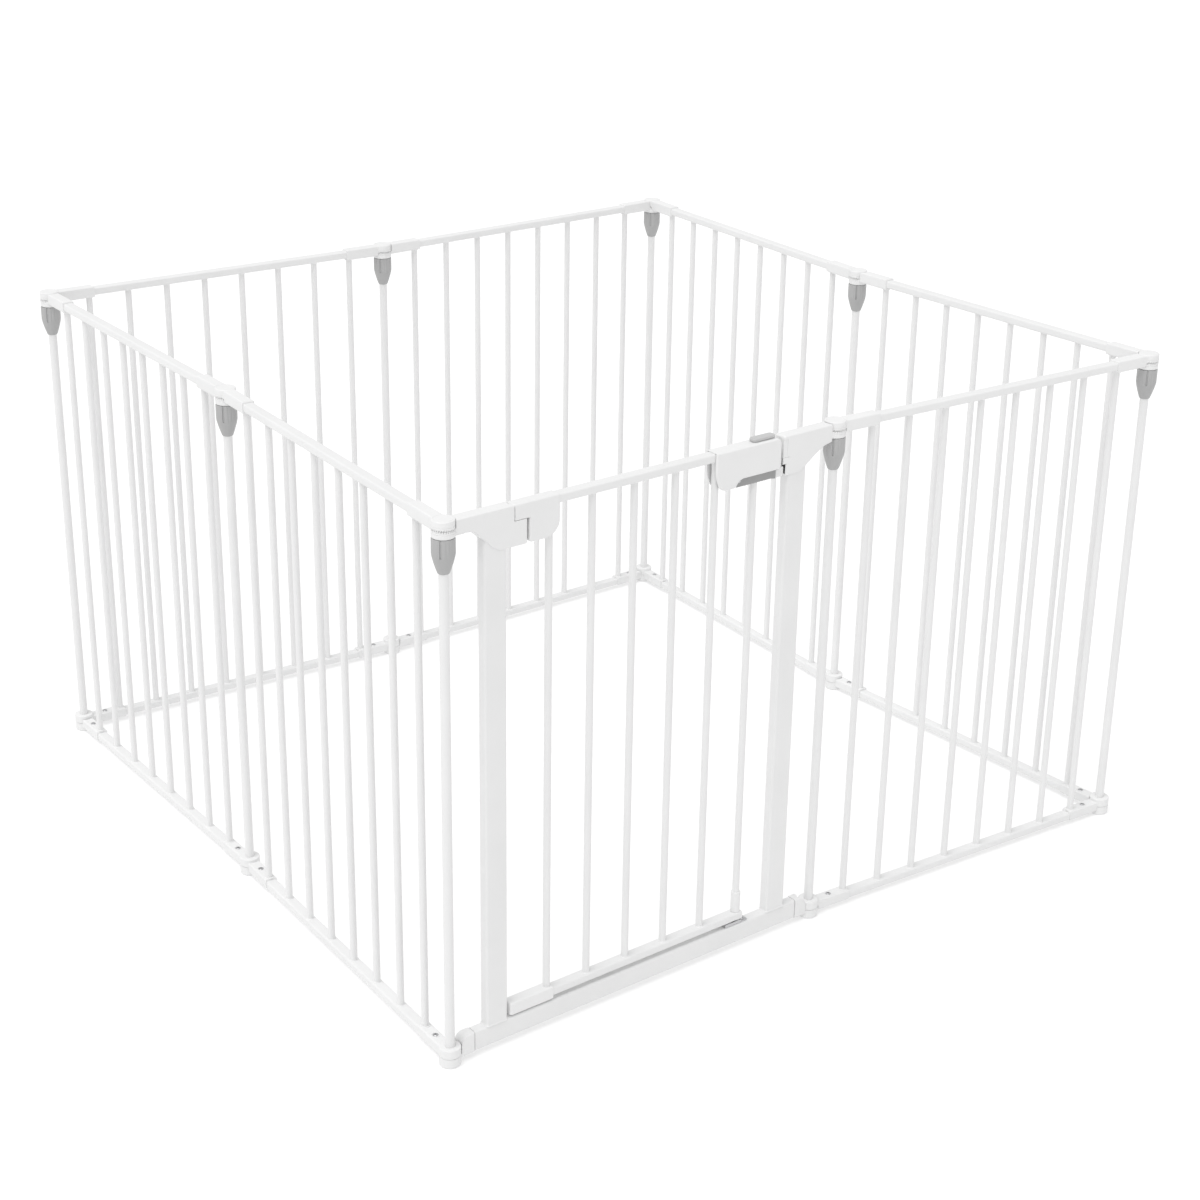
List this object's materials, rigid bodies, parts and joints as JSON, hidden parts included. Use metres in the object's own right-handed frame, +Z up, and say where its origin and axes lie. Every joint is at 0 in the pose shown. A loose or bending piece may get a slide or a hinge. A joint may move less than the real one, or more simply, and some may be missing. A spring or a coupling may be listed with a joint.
{
  "type": "folding playpen",
  "caption": "Free-standing baby playpen of hinged white barred panels with lock collars on the posts, and an inward-swinging gate with a squeeze-lever latch and a slide button.",
  "frame": {"origin": "middle of the pen's bounding box, on the floor", "axes": "+Z up; +X along the gate from its hinge side to its latch side; +Y from the gate into the pen"},
  "size_m": [1.2914, 1.271, 0.773],
  "materials": {
    "white_coated_steel": "smooth white powder coat, semi-gloss",
    "white_plastic": "moulded white plastic, fine satin texture",
    "collar_grey_plastic": "moulded mid-grey plastic, satin",
    "dark_grey_plastic": "moulded dark grey plastic, satin",
    "zinc_steel": "bright zinc-plated steel"
  },
  "bodies": {
    "gate": {"gate_frame": "white_coated_steel", "gate_foot_hinge_ends": "white_plastic", "gate_hinge_bracket": "white_plastic", "gate_catch_bracket": "white_plastic", "gate_sill_stop": "zinc_steel", "gate_posts": "white_coated_steel", "gate_screws": "zinc_steel", "upper_hinge_pin": "zinc_steel"},
    "door": {"door_frame": "white_coated_steel", "door_hinge_cover": "white_plastic", "door_hinge_shoe": "white_plastic", "lower_hinge_pin": "zinc_steel", "door_foot_pin": "white_plastic", "door_screws": "zinc_steel", "latch_housing_front": "white_plastic", "latch_housing_back": "white_plastic", "latch_lever_pin": "zinc_steel", "latch_spring": "zinc_steel"},
    "latch_lever": {"latch_squeeze_lever": "dark_grey_plastic", "latch_hook": "white_plastic"},
    "latch_button": {"latch_slide_button": "dark_grey_plastic"},
    "panel_2": {"panel_2_frame": "white_coated_steel", "panel_2_foot_hinge_ends": "white_plastic", "panel_2_top_hinge_ends": "white_plastic", "panel_2_screws": "zinc_steel"},
    "panel_3": {"panel_3_frame": "white_coated_steel", "panel_3_foot_hinge_ends": "white_plastic", "panel_3_top_hinge_ends": "white_plastic", "panel_3_screws": "zinc_steel", "panel_3_posts": "white_coated_steel"},
    "panel_4": {"panel_4_frame": "white_coated_steel", "panel_4_foot_hinge_ends": "white_plastic", "panel_4_top_hinge_ends": "white_plastic", "panel_4_screws": "zinc_steel"},
    "panel_5": {"panel_5_frame": "white_coated_steel", "panel_5_foot_hinge_ends": "white_plastic", "panel_5_top_hinge_ends": "white_plastic", "panel_5_screws": "zinc_steel", "panel_5_posts": "white_coated_steel"},
    "panel_6": {"panel_6_frame": "white_coated_steel", "panel_6_foot_hinge_ends": "white_plastic", "panel_6_top_hinge_ends": "white_plastic", "panel_6_screws": "zinc_steel"},
    "panel_7": {"panel_7_frame": "white_coated_steel", "panel_7_foot_hinge_ends": "white_plastic", "panel_7_top_hinge_ends": "white_plastic", "panel_7_screws": "zinc_steel", "panel_7_posts": "white_coated_steel"},
    "panel_8": {"panel_8_frame": "white_coated_steel", "panel_8_foot_hinge_ends": "white_plastic", "panel_8_top_hinge_ends": "white_plastic", "panel_8_screws": "zinc_steel"},
    "collar_1": {"lock_collar_1": "collar_grey_plastic"},
    "collar_2": {"lock_collar_2": "collar_grey_plastic"},
    "collar_3": {"lock_collar_3": "collar_grey_plastic"},
    "collar_4": {"lock_collar_4": "collar_grey_plastic"},
    "collar_5": {"lock_collar_5": "collar_grey_plastic"},
    "collar_6": {"lock_collar_6": "collar_grey_plastic"},
    "collar_7": {"lock_collar_7": "collar_grey_plastic"},
    "collar_8": {"lock_collar_8": "collar_grey_plastic"}
  },
  "joints": [
    {"name": "fold_gate_to_panel_2", "type": "hinge", "parent": "gate", "child": "panel_2", "pos_m": [0.00932, -0.57762, 0.3875], "axis": [0, 0, 1], "range_deg": [-5, 112]},
    {"name": "fold_panel_2_to_3", "type": "hinge", "parent": "panel_2", "child": "panel_3", "pos_m": [0.60778, -0.62052, 0.3875], "axis": [0, 0, 1], "range_deg": [-112, 5]},
    {"name": "fold_panel_3_to_4", "type": "hinge", "parent": "panel_3", "child": "panel_4", "pos_m": [0.58778, -0.02085, 0.3875], "axis": [0, 0, 1], "range_deg": [-5, 112]},
    {"name": "fold_gate_to_panel_8", "type": "hinge", "parent": "gate", "child": "panel_8", "pos_m": [-0.63068, -0.57762, 0.3875], "axis": [0, 0, 1], "range_deg": [-5, 112]},
    {"name": "fold_panel_8_to_7", "type": "hinge", "parent": "panel_8", "child": "panel_7", "pos_m": [-0.58778, 0.02085, 0.3875], "axis": [0, 0, 1], "range_deg": [-112, 5]},
    {"name": "fold_panel_7_to_6", "type": "hinge", "parent": "panel_7", "child": "panel_6", "pos_m": [-0.56778, 0.62052, 0.3875], "axis": [0, 0, 1], "range_deg": [-5, 112]},
    {"name": "fold_panel_6_to_5", "type": "hinge", "parent": "panel_6", "child": "panel_5", "pos_m": [0.03068, 0.57762, 0.3875], "axis": [0, 0, 1], "range_deg": [-112, 5]},
    {"name": "door_swing", "type": "hinge", "parent": "gate", "child": "door", "pos_m": [-0.52168, -0.57762, 0.4], "axis": [0, 0, 1], "range_deg": [0, 90]},
    {"name": "lever_squeeze", "type": "hinge", "parent": "door", "child": "latch_lever", "pos_m": [-0.16968, -0.57762, 0.722], "axis": [0, -1, 0], "range_deg": [0, 6], "stiffness_Nm_per_rad": 1, "springref_deg": -5.73, "deforming": ["latch_spring"]},
    {"name": "button_slide", "type": "slide", "parent": "door", "child": "latch_button", "axis": [-1, 0, 0], "range_m": [0, 0.008]},
    {"name": "collar_1_turn", "type": "hinge", "parent": "gate", "child": "collar_1", "pos_m": [-0.63068, -0.57762, 0.723], "axis": [0, 0, 1], "range_deg": [0, 270]},
    {"name": "collar_2_turn", "type": "hinge", "parent": "gate", "child": "collar_2", "pos_m": [0.00932, -0.57762, 0.723], "axis": [0, 0, 1], "range_deg": [0, 270]},
    {"name": "collar_3_turn", "type": "hinge", "parent": "panel_3", "child": "collar_3", "pos_m": [0.60778, -0.62052, 0.723], "axis": [0, 0, 1], "range_deg": [0, 270]},
    {"name": "collar_4_turn", "type": "hinge", "parent": "panel_3", "child": "collar_4", "pos_m": [0.58778, -0.02085, 0.723], "axis": [0, 0, 1], "range_deg": [0, 270]},
    {"name": "collar_5_turn", "type": "hinge", "parent": "panel_5", "child": "collar_5", "pos_m": [0.63068, 0.57762, 0.723], "axis": [0, 0, 1], "range_deg": [0, 270]},
    {"name": "collar_6_turn", "type": "hinge", "parent": "panel_5", "child": "collar_6", "pos_m": [0.03068, 0.57762, 0.723], "axis": [0, 0, 1], "range_deg": [0, 270]},
    {"name": "collar_7_turn", "type": "hinge", "parent": "panel_7", "child": "collar_7", "pos_m": [-0.56778, 0.62052, 0.723], "axis": [0, 0, 1], "range_deg": [0, 270]},
    {"name": "collar_8_turn", "type": "hinge", "parent": "panel_7", "child": "collar_8", "pos_m": [-0.58778, 0.02085, 0.723], "axis": [0, 0, 1], "range_deg": [0, 270]}
  ],
  "couplings": [
    {"joint": "fold_panel_2_to_3", "follows": "fold_gate_to_panel_2", "ratio": -1},
    {"joint": "fold_panel_3_to_4", "follows": "fold_gate_to_panel_2", "ratio": 1},
    {"joint": "fold_gate_to_panel_8", "follows": "fold_gate_to_panel_2", "ratio": 1},
    {"joint": "fold_panel_8_to_7", "follows": "fold_gate_to_panel_2", "ratio": -1},
    {"joint": "fold_panel_7_to_6", "follows": "fold_gate_to_panel_2", "ratio": 1},
    {"joint": "fold_panel_6_to_5", "follows": "fold_gate_to_panel_2", "ratio": -1}
  ]
}
